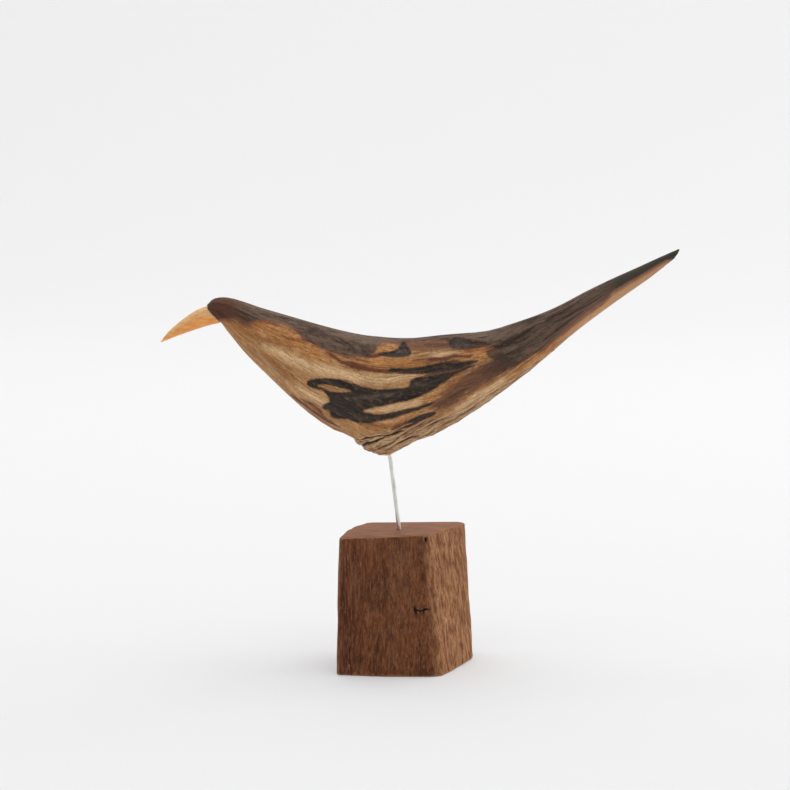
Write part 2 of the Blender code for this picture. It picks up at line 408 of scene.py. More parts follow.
# The smaller charcoal patches, each named after its shape or place.
BOOT_PATCH = (
    (-15, 185.8), (-9, 186.4), (-5, 187.2), (-2.4, 189), (-1.6, 192), (0.8, 192), (1.4, 189.4),
    (3.8, 187), (3.8, 185.2), (1.5, 184.2), (-3, 183.6), (-9, 184), (-15, 184.8),
)
LOBE = (
    (3, 168.4), (3.6, 170.8), (6.5, 172.4), (11, 172.8), (18, 173.5), (26, 176), (24, 171), (14, 167),
    (6, 166), (3.6, 166.8),
)
SHOULDER_PATCH = (
    (25.5, 190.5), (26.5, 193), (29, 194.2), (36, 193.6), (49, 192), (44, 190), (36, 188.2), (28, 187.8),
)
BAND = (
    (-9, 177.3), (4, 177.8), (10, 178), (16, 179.4), (27, 181), (34, 181.3), (43, 181.6), (38, 179.8),
    (33, 178.3), (28, 176.6), (20, 175.4), (12, 174.6), (4, 174.8), (-9, 175.2),
)
LENS_PATCH = (
    (1.5, 146), (7, 149.8), (13.5, 151.7), (17.8, 152.4), (17.5, 150), (11.5, 147.6), (6.5, 145.6),
    (2, 145),
)

CHARCOAL_OUTLINES = (GREAT_PATCH, LOBE, BOOT_PATCH, SHOULDER_PATCH, BAND, LENS_PATCH)
# Where the band, the great patch and the back run together in broken dark streaks.
SOOT_OUTLINES = (
    ((8, 176), (12, 179), (20, 181), (30, 182.5), (44, 182), (34, 176), (24, 172), (15, 171)),
    ((44, 186), (52, 190), (62, 192), (70, 186), (64, 176), (54, 180)),
)
# Reddish brown shadows: from the great patch to the root of the tail, on the back, and on the face.
BROWN_OUTLINES = (
    (
        (13, 155), (22, 163), (31, 171), (40, 178), (50, 182), (58, 192), (76, 192), (73, 185), (66, 180),
        (56, 174.5), (45, 168), (34, 160.5), (27, 155.5), (20, 153),
    ),
    ((-6, 200), (-5, 188.5), (6, 187.5), (18, 188), (30, 187), (31, 200)),
    ((-106, 203), (-98, 204), (-94, 202), (-91, 200.5), (-87.5, 202), (-84, 207), (-100, 212)),
)
# Reddish lines: x, z and half width.
RED_STROKES = (
    (
        (-44, 187, 0.5), (-35, 181.4, 0.9), (-29, 179.6, 1.5), (-22, 177.4, 1.3), (-16.5, 176.3, 0.9),
        (-8, 176, 0.8),
    ),
    (
        (-65, 160.5, 0.5), (-58, 155.5, 1.1), (-53.5, 152, 0.8), (-48, 148, 1.1), (-43, 145, 0.9),
        (-37, 142, 0.4),
    ),
    ((-60, 159, 0.2), (-54, 156.5, 0.5), (-49.5, 153, 0.5), (-47.5, 149, 0.6)),
    ((-22, 184.5, 0.5), (-14, 184.9, 1.1), (-9, 185.5, 0.8)),
    ((5, 182, 0.3), (16, 182.6, 0.8), (28, 184, 0.9), (38, 184.4, 0.5)),
    ((-7, 142.6, 0.5), (-3, 144, 0.9), (2, 146, 0.8)),
    ((-6, 140.4, 0.4), (1, 142.8, 0.8), (9, 144.8, 0.4)),
)
# Amber and pale washes, in the same way.
AMBER_STROKES = (
    ((-106, 202, 1.0), (-94, 200, 2.6), (-80, 200, 4.0), (-66, 195, 4.5), (-54, 188, 4.0), (-42, 183, 2.5)),
    ((-15, 188, 1.2), (-9, 189, 2.0), (-5, 189, 1.6)),
    ((-20, 181, 1.2), (-6, 180.5, 1.8), (8, 181, 1.8)),
    ((34, 185, 2.0), (44, 186, 2.8), (54, 186.5, 1.4)),
    ((12, 160, 1.0), (18, 160, 2.0), (26, 163, 1.4)),
    ((60, 168, 2.0), (76, 180, 2.6), (92, 195, 1.6)),
)
PALE_STROKES = (
    (
        (-80, 190, 1.5), (-66, 184, 3.4), (-54, 179, 3.6), (-41, 176, 3.2), (-28, 173, 3.0),
        (-14, 170.5, 2.4),
    ),
    ((-30, 174, 1.6), (-8, 171.5, 2.6), (6, 173.5, 1.0)),
    ((-62, 166, 1.2), (-53, 161.5, 2.6), (-45, 157, 1.8)),
    ((-84, 186, 0.1), (-78, 178, 0.6), (-68, 169, 0.6), (-58, 158, 0.2)),
    ((-22, 153, 0.8), (-6, 155, 1.6), (8, 158.5, 1.6)),
    ((14, 185, 1.0), (22, 186, 2.2), (30, 186, 1.4)),
    ((30, 153, 1.5), (42, 160, 2.5), (56, 169, 2.0)),
)
# Faint brown shadows, and the arcs round the knots.
DUSK_STROKES = (
    ((-90, 190, 0.6), (-83, 184, 1.4), (-76, 177, 1.6), (-69, 170, 1.0)),
    ((-84, 190.5, 0.1), (-80, 193.2, 0.5), (-74, 193.4, 0.4), (-70, 190.5, 0.1)),
    ((-69, 187, 0.1), (-64.5, 190.6, 0.4), (-58.5, 189, 0.5), (-56.5, 186, 0.3), (-60.5, 183.6, 0.2)),
    ((14, 190, 1.0), (15, 184, 2.0), (14, 179, 1.6)),
    ((-72, 182, 0.2), (-63, 175, 0.6), (-58, 171, 0.3)),
    ((-30, 141, 0.5), (-38, 146, 1.0), (-46, 151, 0.4)),
)
# Painted sheen in the hollows of the lobe, the shoulder patch and the boot patch, and a paler brown streak on
# the great patch.
SHEEN_AND_PALE_STREAK_STROKES = (
    ((5.5, 168.6, 0.9), (10, 168.4, 1.3), (15, 167.6, 0.4)),
    ((29, 190.2, 0.9), (36, 190.4, 1.2), (42, 190.2, 0.4)),
    ((-3, 186.2, 0.5), (1, 186.8, 0.9)),
    ((-33, 160, 0.6), (-20, 161.5, 1.6), (-6, 162.5, 0.8)),
)
# Grain that crowds round: x, z, half length and half height.
KNOTS = ((-62.5, 187.0, 5.5, 3.0), (-77.0, 190.5, 5.0, 1.8))

# Upper edge of the rough, unplaned wood along the keel.
STUB_EDGE = (
    (-33, 124), (-31, 134), (-27, 137), (-22, 138.5), (-14, 141), (-7, 142.5), (0, 145), (8, 147.5),
    (20, 148.5), (27, 151), (37, 157), (49, 164), (62, 171.5), (72, 178), (84, 186), (100, 198),
)
# Splits in that wood: x, z and half width.
STUB_SPLITS = (
    ((-32.0, 133.0, 0.8), (-29.0, 131.0, 1.5), (-26.8, 130.0, 0.8)),
    (
        (-27, 134, 0.6), (-22, 136, 0.9), (-16, 137.5, 0.8), (-11, 137.2, 0.6), (-5.5, 139, 0.8),
        (0, 140.5, 0.3),
    ),
    ((-26, 129.5, 0.8), (-22, 132, 1.3), (-16.5, 133.8, 0.9), (-12, 136, 0.5)),
    ((-10, 128.5, 0.3), (-5, 132, 0.7), (2, 135.6, 0.8), (8, 137.2, 0.5)),
    ((-16, 129, 0.4), (-9, 131.8, 0.6), (-3, 135.8, 0.3)),
    ((6, 140, 0.2), (16, 143.5, 0.4), (26, 147.5, 0.1)),
    ((24, 143.5, 0.1), (35, 150.5, 0.4), (48, 159, 0.1)),
    ((44, 160.5, 0.0), (52, 165, 0.2), (60, 170, 0.0)),
)
# Keel line across the notch where that wood starts, as x and z.
STUB_NOTCH = ((-34, 131.5), (-31.2, 133.2), (-28.9, 132.8), (-26.8, 129.6), (-26, 120))


# --- the bird --------------------------------------------------------------------------------------

# How the stains on the far side are shifted and bent, as x and z, and over what length they bend.
FAR_SHIFT = (11.0, 2.0)
FAR_BEND = (5.0, 3.5)
FAR_WAVES = (20.0, 20.0, 20.0)
# Height of the flank in the grain's own coordinates, from the back down to the keel.
FLANK_HEIGHT = 46.0
# How steeply the fibres of the rough wood climb towards the tail.
FIBRE_CLIMB = math.radians(27.0)


def flank_places(points):
    """Where each vertex lies on the pattern. The far side shows the same stains, shifted and bent."""
    places = points[:, [0, 2]].copy()
    places[:, 0] += 0.7 * soft_noise(points, (6.0, 6.0, 6.0), 73)
    places[:, 1] += 0.5 * soft_noise(points, (7.0, 7.0, 4.0), 74)
    far = points[:, 1] > 0
    for axis, seed in ((0, 71), (1, 72)):
        bend = FAR_SHIFT[axis] + FAR_BEND[axis] * soft_noise(points, FAR_WAVES, seed)
        places[:, axis] += np.where(far, bend, 0.0)
    return places


def bird_grain(points, places):
    """Coordinates that run along the grain, down the flank and into the wood, bent round the knots."""
    down = FLANK_HEIGHT * drop_share(points)
    down += 1.1 * soft_noise(points, (19.0, 30.0, 12.0), 21)
    for x, z, half_length, half_height in KNOTS:
        across = (places[:, 1] - z) / half_height
        along = (places[:, 0] - x) / half_length
        down += 0.8 * half_height * across * np.exp(-(across ** 2 + along ** 2))
    return np.column_stack([points[:, 0], down, points[:, 1]])


def knot_depth(places):
    """How far inside the nearest knot each place is."""
    reach = []
    for x, z, half_length, half_height in KNOTS:
        spread = np.hypot((places[:, 0] - x) / half_length, (places[:, 1] - z) / half_height)
        reach.append((1.0 - spread) * half_height)
    return deepest(reach)


def rough_grain(points):
    """Coordinates along and across the twisted fibres of the rough wood, which climb towards the tail."""
    bent = points[:, 2] + 2.2 * soft_noise(points, (14.0, 14.0, 9.0), 24)
    along = points[:, 0] * math.cos(FIBRE_CLIMB) + bent * math.sin(FIBRE_CLIMB)
    across = bent * math.cos(FIBRE_CLIMB) - points[:, 0] * math.sin(FIBRE_CLIMB)
    return np.column_stack([along, across, points[:, 1]])


def rough_share(points):
    """How rough the wood is at each vertex: fully so on the keel's bulge, and less so towards the tail."""
    under_edge = ramp(-height_over(points[:, [0, 2]], STUB_EDGE), 0.0, 3.0)
    return under_edge * (1.0 - 0.8 * ramp(points[:, 0], 12.0, 50.0))


def bird_fields(points):
    """Where each vertex lies along the grain, and how deep it is in each kind of mark."""
    places = flank_places(points)
    charcoal = depth_in_outlines(places, CHARCOAL_OUTLINES)
    return {
        "grain": bird_grain(points, places),
        "fibres": rough_grain(points),
        "charcoal": np.minimum(charcoal, -depth_in_outlines(places, PALE_ISLANDS)),
        "splits": depth_in_strokes(places, STUB_SPLITS),
        "cap": height_over(places, CAP_EDGE),
        "stub": -height_over(places, STUB_EDGE),
        "soot": depth_in_outlines(places, SOOT_OUTLINES),
        "brown": depth_in_outlines(places, BROWN_OUTLINES),
        "red": depth_in_strokes(places, RED_STROKES),
        "amber": depth_in_strokes(places, AMBER_STROKES),
        "pale": depth_in_strokes(places, PALE_STROKES),
        "dusk": depth_in_strokes(places, DUSK_STROKES),
        "sheen_and_pale_streak": depth_in_strokes(places, SHEEN_AND_PALE_STREAK_STROKES),
        "knot": knot_depth(places),
    }


def bird_relief(fields, rough_wood):
    """How far the knife, the sunken stains and the torn wood move the surface, in millimetres."""
    grain, fibres = fields["grain"], fields["fibres"]
    knife = 0.22 * soft_noise(grain, (38.0, 7.0, 9.0), 11) + 0.10 * soft_noise(grain, (16.0, 3.0, 4.0), 12)
    hollow = -0.4 * ramp(fields["charcoal"], -0.2, 0.8)
    ridges = 1.0 - 2.0 * np.abs(soft_noise(fibres, (17.0, 2.8, 4.0), 13))
    torn = 0.9 * ridges + 0.5 * soft_noise(fibres, (7.0, 1.4, 2.0), 14) - 0.5
    split = -1.3 * ramp(fields["splits"], -0.2, 0.9)
    return knife + hollow + rough_wood * torn + split


def make_bird():
    """The carved body: an even mesh, eased, then cut, pitted, given its stains and painted with shade and
    highlights.
    """
    piece = remeshed_copy("bird_body", "carved_bird", BIRD_VOXEL)
    mesh = piece.data
    points = get_points(mesh)
    rough_wood = rough_share(points)
    # The facets are rounded off, but the rough wood stays lumpy and the tail's end stays sharp.
    share = 0.5 * (1.0 - ramp(points[:, 0], 148.0, 154.0)) * (1.0 - 0.6 * rough_wood)
    points = smoothed(points, get_edges(mesh), 26, share, PUSH_BACK)
    set_points(mesh, points)

    fields = bird_fields(points)
    points = pushed_out(mesh, points, bird_relief(fields, rough_wood))
    points[:, 2] = np.maximum(points[:, 2], edge_height(points[:, 0], STUB_NOTCH))
    set_points(mesh, points)
    fields["crest"] = crest_height(mesh, points)
    set_fields(mesh, fields)

    mesh.materials.append(bird_wood())
    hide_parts("bird_body")
    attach(piece, "bird")


def bird_noises(recipe):
    """The noises that the bird's wood and its stains share."""
    grain = recipe.vector_field("grain")
    streaks = recipe.noise(grain, (20.0, 1.4, 3.0), 5.0, 0.68, 0.4)
    mottle = recipe.noise(grain, (4.0, 1.8, 2.2), 5.0, 0.72)
    ragged = recipe.noise(grain, (5.0, 1.3, 2.2), 5.0, 0.72)
    return SimpleNamespace(
        along=recipe.add("ShaderNodeSeparateXYZ", {0: grain}).outputs["X"],
        broad=recipe.noise(grain, (30.0, 6.0, 12.0), 5.0, 0.6, 0.6),
        streaks=streaks,
        lines=recipe.noise(grain, (15.0, 0.45, 1.4), 3.0, 0.6, 0.2),
        mottle=mottle,
        pores=recipe.noise(grain, (2.4, 0.3, 0.5), 2.0, 0.6),
        ragged=ragged,
        speckle=recipe.noise(grain, (1.7, 0.8, 1.0), 3.0, 0.7),
        twist=recipe.noise(recipe.vector_field("fibres"), (12.0, 1.1, 2.5), 5.0, 0.7, 0.5),
        drift=recipe.plus(recipe.centred(streaks, 8.0), recipe.centred(mottle, 7.0)),
        smoke=recipe.plus(recipe.centred(streaks, 6.0), recipe.centred(ragged, 5.0)),
        edge=recipe.centred(ragged, 3.4),
        fine_edge=recipe.centred(recipe.noise(grain, (3.0, 0.9, 1.4), 4.0, 0.72), 2.6),
    )


def unstained_wood(recipe, noises):
    """The pale wood with its own grain, and the fibrous wood along the keel."""
    drift, mottle, streaks = noises.drift, noises.mottle, noises.streaks
    torn_wood = recipe.mix(recipe.step(noises.twist, 0.36, 0.6), srgb(112, 76, 50), srgb(212, 176, 134))
    return recipe.layered(
        recipe.mix(recipe.step(noises.broad, 0.38, 0.6), srgb(168, 112, 66), srgb(196, 148, 98)),
        (recipe.mark("pale", drift, -2.5, 3.0, 0.9), srgb(240, 202, 154)),
        (recipe.mark("amber", drift, -3.5, 3.0, 0.7), srgb(204, 140, 78)),
        (recipe.mark("cap", drift, -6.0, -0.5, 0.42), srgb(176, 108, 60)),
        (recipe.mark("knot", recipe.centred(noises.ragged, 1.6), 0.2, 1.4, 0.4), srgb(206, 158, 98)),
        (recipe.mark("stub", drift, -1.5, 1.5, 0.85), torn_wood),
        # Faint painted brown shadows, and the arcs round the knots.
        (recipe.mark("dusk", noises.edge, -1.4, 1.2, 0.35), srgb(118, 80, 50)),
        (recipe.step(streaks, 0.48, 0.62, 0.55), srgb(138, 88, 48)),
        (recipe.step(streaks, 0.44, 0.3, 0.4), srgb(232, 196, 150)),
        (recipe.step(mottle, 0.51, 0.62, 0.4), srgb(138, 88, 48)),
        (recipe.step(mottle, 0.46, 0.34, 0.3), srgb(228, 192, 148)),
        (recipe.step(noises.lines, 0.52, 0.66, 0.6), srgb(84, 50, 28)),
        (recipe.step(noises.pores, 0.56, 0.68, 0.5), srgb(66, 38, 22)),
        (recipe.mark("pale", drift, -1.0, 3.0, 0.26), srgb(240, 196, 146)),
    )


def painted_brown_shadow(recipe, noises):
    """The brown of the painted shadows, darker towards the tail."""
    return recipe.layered(
        recipe.mix(recipe.step(noises.streaks, 0.38, 0.62), srgb(70, 44, 33), srgb(126, 84, 60)),
        (recipe.step(noises.mottle, 0.52, 0.64, 0.45), srgb(146, 100, 72)),
        (recipe.step(recipe.plus(noises.along, noises.drift), 34.0, 60.0), srgb(70, 50, 41)),
    )


def cap_stain(recipe, noises):
    """The dull dark brown along the back, redder on the head, and paler down the side of the tail."""
    tail_side = recipe.mark("cap", noises.drift, 6.5, 0.0, 0.6)
    tail_side = recipe.times(tail_side, recipe.step(noises.along, 72.0, 92.0))
    headward = recipe.plus(noises.along, recipe.centred(noises.mottle, 14.0))
    return recipe.layered(
        recipe.mix(recipe.step(noises.broad, 0.36, 0.6), srgb(62, 46, 37), srgb(110, 90, 76)),
        (recipe.step(noises.streaks, 0.5, 0.62, 0.6), srgb(52, 36, 29)),
        (recipe.step(noises.mottle, 0.53, 0.64, 0.5), srgb(128, 97, 74)),
        (recipe.step(noises.mottle, 0.48, 0.38, 0.45), srgb(50, 38, 31)),
        (tail_side, srgb(138, 104, 90)),
        (recipe.step(headward, -84.0, -104.0, 0.7), srgb(92, 52, 36)),
    )


def charcoal_stain_and_sheen(recipe, noises):
    """The near-black of the figured marks, mottled with brown, with painted sheen in some hollows and a paler
    streak on the great patch.
    """
    return recipe.layered(
        recipe.mix(recipe.step(noises.streaks, 0.38, 0.62), srgb(62, 53, 45), srgb(34, 26, 22)),
        (recipe.step(noises.mottle, 0.52, 0.62, 0.6), srgb(104, 74, 54)),
        # Painted sheen in the hollows of the small patches, and a paler streak on the great patch.
        (recipe.mark("sheen_and_pale_streak", noises.drift, -1.0, 1.6, 0.6), srgb(116, 94, 78)),
    )


def stained_with_painted_light(recipe, noises, wood):
    """The wood with its stains and painted shadows laid over it: painted brown shadows, the cap, the tail and
    the charcoal marks.
    """
    drift, edge, ragged = noises.drift, noises.edge, noises.ragged
    brown = recipe.mark("brown", drift, -3.0, 2.4, 0.94)
    cap_fringe = recipe.times(recipe.mark("cap", drift, -2.6, 0.8, 0.7), recipe.minus(1.0, brown))
    cap = recipe.mark("cap", recipe.centred(ragged, 6.0), -1.0, 1.8)
    strip_edge = recipe.mark("cap", recipe.centred(ragged, 1.5), -0.6, -3.2)
    strip_wood = recipe.mix(strip_edge, srgb(150, 106, 86), srgb(206, 158, 118))
    strip = recipe.times(recipe.step(noises.along, 84.0, 104.0, 0.8), recipe.mark("cap", drift, 1.0, -0.5))
    tailward = recipe.plus(noises.along, recipe.centred(noises.mottle, 8.0))
    tail_top = recipe.times(recipe.step(tailward, 110.0, 124.0), recipe.mark("cap", edge, -0.5, 0.8))
    return recipe.layered(
        wood,
        # Painted brown shadows.
        (brown, painted_brown_shadow(recipe, noises)),
        (recipe.mark("red", edge, -0.9, 0.6, 0.85), srgb(88, 40, 32)),
        (recipe.mark("soot", noises.smoke, -0.6, 0.8, 0.8), srgb(68, 55, 47)),
        (cap_fringe, srgb(112, 62, 40)),
        (cap, cap_stain(recipe, noises)),
        (strip, strip_wood),
        (tail_top, srgb(74, 66, 57)),
        (recipe.mark("charcoal", edge, -1.0, 0.0, 0.6), srgb(104, 66, 42)),
        (recipe.mark("charcoal", noises.fine_edge, -0.35, 0.3), charcoal_stain_and_sheen(recipe, noises)),
    )


def with_painted_crest_light_and_shade(recipe, noises, colour):
    """The colour darker in the splits, with painted shade in the grooves and painted highlights on the crests
    of the rough wood.
    """
    crest = recipe.field("crest")
    # Painted highlights on the crests of the rough wood, where it stands proud.
    painted_crest_highlight = recipe.times(recipe.step(crest, 0.06, 0.25), recipe.mark("stub", 0.0, 0.0, 1.0, 0.6))
    return recipe.layered(
        colour,
        (recipe.mark("splits", noises.fine_edge, -0.4, 0.7, 0.85), srgb(50, 32, 23)),
        # Painted shade in the grooves.
        (recipe.step(crest, -0.04, -0.26, 0.8), srgb(48, 31, 22)),
        (painted_crest_highlight, srgb(214, 178, 138)),
    )


def bird_wood():
    """Tan wood with figured dark stains, oiled; glossier on the charcoal and duller on the cap."""
    recipe = Recipe("figured_wood_looks")
    noises = bird_noises(recipe)
    colour = stained_with_painted_light(recipe, noises, unstained_wood(recipe, noises))
    colour = recipe.shade(colour, recipe.between(noises.speckle, 0.3, 0.7, 0.8, 1.24))
    colour = with_painted_crest_light_and_shade(recipe, noises, colour)
    height = recipe.plus(recipe.times(noises.lines, 0.7), recipe.times(noises.pores, -0.5))
    normal = recipe.bump(height, 0.35, recipe.bump(noises.mottle, 0.45))
    rough = recipe.between(noises.streaks, 0.3, 0.7, 0.5, 0.64)
    rough = recipe.minus(rough, recipe.mark("charcoal", 0.0, -0.2, 0.4, 0.14))
    rough = recipe.plus(rough, recipe.mark("cap", noises.edge, -0.5, 0.8, 0.16))
    return recipe.finish(colour, rough, normal, 0.2)


# --- the beak --------------------------------------------------------------------------------------


def make_beak():
    """The whittled beak: long knife facets, eased a little."""
    piece = remeshed_copy("beak", "whittled_beak", BEAK_VOXEL)
    mesh = piece.data
    points = get_points(mesh)
    eased = smoothed(points, get_edges(mesh), 3, np.full(len(points), 0.5))
    set_points(mesh, eased)
    points = pushed_out(mesh, eased, 0.08 * soft_noise(eased, (9.0, 2.5, 2.5), 31))
    set_points(mesh, points)
    set_fields(mesh, {"grain": eased, "drop": drop_share(points), "crest": crest_height(mesh, points)})
    mesh.materials.append(beak_wood())
    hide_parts("beak")
    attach(piece, "bird")


def beak_wood():
    """Pale orange wood with a soft sheen and painted highlights along its ridges, paler on top."""
    recipe = Recipe("beak_wood_looks")
    grain = recipe.vector_field("grain")
    streaks = recipe.noise(grain, (12.0, 1.2, 1.2), 4.0, 0.6, 0.4)
    fine = recipe.noise(grain, (5.0, 0.35, 0.35), 3.0, 0.6)
    specks = recipe.noise(grain, (1.6, 0.5, 0.5), 2.0, 0.5)
    streaked = recipe.step(streaks, 0.35, 0.65)
    low_colour = recipe.mix(streaked, srgb(234, 146, 64), srgb(246, 174, 94))
    colour = recipe.layered(
        recipe.mix(streaked, srgb(222, 166, 108), srgb(238, 190, 134)),
        (recipe.step(recipe.field("drop"), 0.3, 0.55), low_colour),
        (recipe.step(fine, 0.5, 0.72, 0.5), srgb(184, 114, 56)),
        (recipe.step(specks, 0.66, 0.76, 0.5), srgb(140, 82, 40)),
        # Painted highlights along the ridges.
        (recipe.step(recipe.field("crest"), 0.02, 0.12, 0.5), srgb(246, 212, 164)),
    )
    rough = recipe.between(streaks, 0.3, 0.7, 0.35, 0.5)
    return recipe.finish(colour, rough, recipe.bump(fine, 0.1), 0.4)


# --- the block -------------------------------------------------------------------------------------

# Marks on the block's front, as x, z and half width: a check shaped like an H and a nail hole.
BLOCK_CUTS = (
    ((5.8, 39.6, 0.2), (6.2, 37.8, 1.0), (6.8, 35.0, 0.4)),
    ((6.2, 37.8, 0.6), (9.4, 37.0, 0.3), (11.2, 37.9, 0.7), (14.0, 38.0, 0.3)),
    ((11.4, 39.0, 0.2), (11.0, 36.4, 0.6)),
    ((12.2, 77.6, 0.7), (12.4, 76.4, 0.6)),
)
# Pale scars there.
BLOCK_SCARS = (
    ((23.6, 31.5, 0.2), (24.2, 30.0, 0.8), (23.8, 28.2, 0.4), (24.0, 25.0, 0.1)),
    ((-32.0, 6.4, 0.5), (-32.0, 4.2, 0.3)),
    ((24.2, 77.0, 0.5), (23.0, 73.0, 0.2)),
)
# The depth given to what is not on the front.
FAR_OUTSIDE = -9.0


def block_wear(points):
    """How far each vertex is rounded off by wear: fully so on the front right ridge and the left back corner.
    """
    x, y, z = points.T
    ridge = ramp(x, 2.0, 9.0) * ramp(x, 27.0, 23.0) * ramp(y, 10.0, 0.0)
    ridge = ridge * ramp(z, 1.0, 6.0) * ramp(z, 79.0, 74.0)
    corner = ramp(x, -22.0, -27.0) * ramp(y, 0.0, 4.0)
    return np.maximum(ridge, corner)


def block_fields(points, normals, turned):
    """Where each vertex lies: on the sides, on the wane that faces front right, and in each mark."""
    side = ramp(1.0 - np.abs(normals[:, 2]), 0.2, 0.7)
    on_front = normals[:, 1] < -0.1
    places = points[:, [0, 2]]
    return {
        "side": side,
        "wane": side * ramp(turned[:, 0], 0.1, 0.6) * ramp(-turned[:, 1], -0.3, 0.1),
        "cuts": np.where(on_front, depth_in_strokes(places, BLOCK_CUTS), FAR_OUTSIDE),
        "scars": np.where(on_front, depth_in_strokes(places, BLOCK_SCARS), FAR_OUTSIDE),
    }


def block_relief(points, fields):
    """How far the fibres, the torn wane and the cuts move the surface, in millimetres; none at the foot."""
    fibres = 0.28 * soft_noise(points, (1.8, 1.8, 14.0), 51) + 0.26 * soft_noise(points, (5.0, 5.0, 45.0), 52)
    lumps = 0.4 * soft_noise(points, (26.0, 26.0, 30.0), 53)
    torn = 0.6 * soft_noise(points, (3.6, 3.6, 34.0), 54) + 0.4 * soft_noise(points, (1.9, 1.9, 8.0), 55)
    cut = -1.2 * ramp(fields["cuts"], -0.3, 0.7)
    relief = fields["side"] * (fibres + lumps) + fields["wane"] * torn + cut
    return relief * ramp(points[:, 2], 0.3, 2.0)


def make_block():
    """The rough block: upright fibres, a torn wane, a check and a nail hole."""
    piece = remeshed_copy("base_block", "rough_block", BLOCK_VOXEL)
    mesh = piece.data
    edges = get_edges(mesh)
    points = get_points(mesh)
    everywhere = np.full(len(points), 0.5)
    points = smoothed(points, edges, 6, everywhere, PUSH_BACK)
    points = smoothed(points, edges, 40, 0.5 * block_wear(points))
    set_points(mesh, points)

    normals = get_normals(mesh)
    fields = block_fields(points, normals, smoothed(normals, edges, 16, everywhere))
    points = pushed_out(mesh, points, block_relief(points, fields))
    points[:, 2] = np.maximum(points[:, 2], 0.0)
    set_points(mesh, points)
    fields["grain"] = points
    fields["crest"] = crest_height(mesh, points)
    set_fields(mesh, fields)

    mesh.materials.append(block_wood())
    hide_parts("base_block")
    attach(piece, "base")


def block_wood():
    """Rough brown hardwood, smoother and paler on its sawn top, partly as a painted sheen, torn and paler on
    the wane; painted shade in its grooves and painted highlights on its crests.
    """
    recipe = Recipe("block_wood_looks")
    grain = recipe.vector_field("grain")
    broad = recipe.noise(grain, (9.0, 9.0, 70.0), 4.0, 0.6, 0.4)
    fibres = recipe.noise(grain, (0.8, 0.8, 13.0), 5.0, 0.7)
    dashes = recipe.noise(grain, (0.7, 0.7, 3.5), 3.0, 0.6)
    fine = recipe.noise(grain, (0.4, 0.4, 2.5), 3.0, 0.6)
    lines = recipe.noise(grain, (1.6, 1.6, 40.0), 4.0, 0.65, 0.3)
    splinters = recipe.noise(grain, (1.8, 1.8, 22.0), 5.0, 0.7, 0.3)
    dust = recipe.noise(grain, (7.0, 7.0, 16.0), 5.0, 0.75)
    saw_streaks = recipe.noise(grain, (14.0, 1.3, 9.0), 4.0, 0.6, 0.5)
    ragged = recipe.centred(dashes, 2.0)
    side = recipe.field("side")
    crest = recipe.field("crest")
    torn = recipe.mix(recipe.step(splinters, 0.4, 0.6), srgb(122, 77, 51), srgb(192, 141, 98))
    top = recipe.layered(
        recipe.mix(recipe.step(saw_streaks, 0.38, 0.62), srgb(156, 106, 76), srgb(130, 83, 57)),
        (recipe.step(fine, 0.5, 0.62, 0.45), srgb(90, 54, 36)),
    )
    colour = recipe.layered(
        recipe.mix(recipe.step(broad, 0.38, 0.6), srgb(84, 46, 28), srgb(113, 66, 40)),
        (recipe.step(lines, 0.5, 0.6, 0.45), srgb(128, 82, 54)),
        (recipe.step(lines, 0.46, 0.36, 0.55), srgb(62, 36, 24)),
        (recipe.times(recipe.field("wane"), 0.7), torn),
        (recipe.step(dust, 0.5, 0.66, 0.25), srgb(150, 108, 80)),
        (recipe.step(fibres, 0.52, 0.64, 0.45), srgb(160, 108, 74)),
        (recipe.step(fibres, 0.47, 0.34, 0.6), srgb(58, 33, 22)),
        (recipe.step(dashes, 0.6, 0.68, 0.28), srgb(180, 136, 100)),
        (recipe.step(dashes, 0.4, 0.3, 0.65), srgb(44, 25, 17)),
        # The sawn top: its own paler colour, lightened further as a painted sheen.
        (recipe.step(side, 0.7, 0.1), top),
        (recipe.mark("scars", ragged, -0.3, 0.5, 0.55), srgb(200, 160, 118)),
        (recipe.mark("cuts", ragged, -2.2, 0.4, 0.6), srgb(58, 34, 24)),
        (recipe.mark("cuts", ragged, -0.3, 0.4, 0.9), srgb(30, 18, 13)),
        # Painted shade in the grooves, and painted highlights on the crests.
        (recipe.step(crest, -0.04, -0.24, 0.75), srgb(46, 27, 18)),
        (recipe.step(crest, 0.06, 0.25, 0.45), srgb(172, 128, 94)),
    )
    height = recipe.plus(recipe.times(fibres, 0.6), recipe.times(fine, 0.4))
    rough = recipe.between(side, 0.0, 1.0, 0.62, 0.9)
    return recipe.finish(colour, rough, recipe.bump(height, 0.55), 0.2)


# --- the CAD pieces that stay ----------------------------------------------------------------------


def rod_steel():
    """Drawn bright wire with faint lengthwise scratches."""
    recipe = Recipe("rod_steel_looks")
    place = recipe.place()
    scratches = recipe.noise(place, (0.18, 0.18, 12.0), 3.0, 0.6)
    tarnish = recipe.noise(place, (3.0, 3.0, 9.0), 4.0, 0.6)
    colour = recipe.mix(recipe.step(tarnish, 0.4, 0.75), srgb(222, 221, 216), srgb(188, 186, 180))
    rough = recipe.between(scratches, 0.3, 0.7, 0.22, 0.4)
    recipe.shader.inputs["Metallic"].default_value = 1.0
    return recipe.finish(colour, rough, recipe.bump(scratches, 0.02), 0.5)


def dowel_wood():
    """Plain birch, seen only where the beak comes off."""
    recipe = Recipe("dowel_wood_looks")
    lines = recipe.noise(recipe.place(), (6.0, 0.4, 0.4), 3.0, 0.6)
    colour = recipe.mix(recipe.step(lines, 0.4, 0.7), srgb(214, 184, 140), srgb(190, 154, 108))
    rough = recipe.between(lines, 0.3, 0.7, 0.55, 0.7)
    return recipe.finish(colour, rough, recipe.bump(lines, 0.05), 0.5)


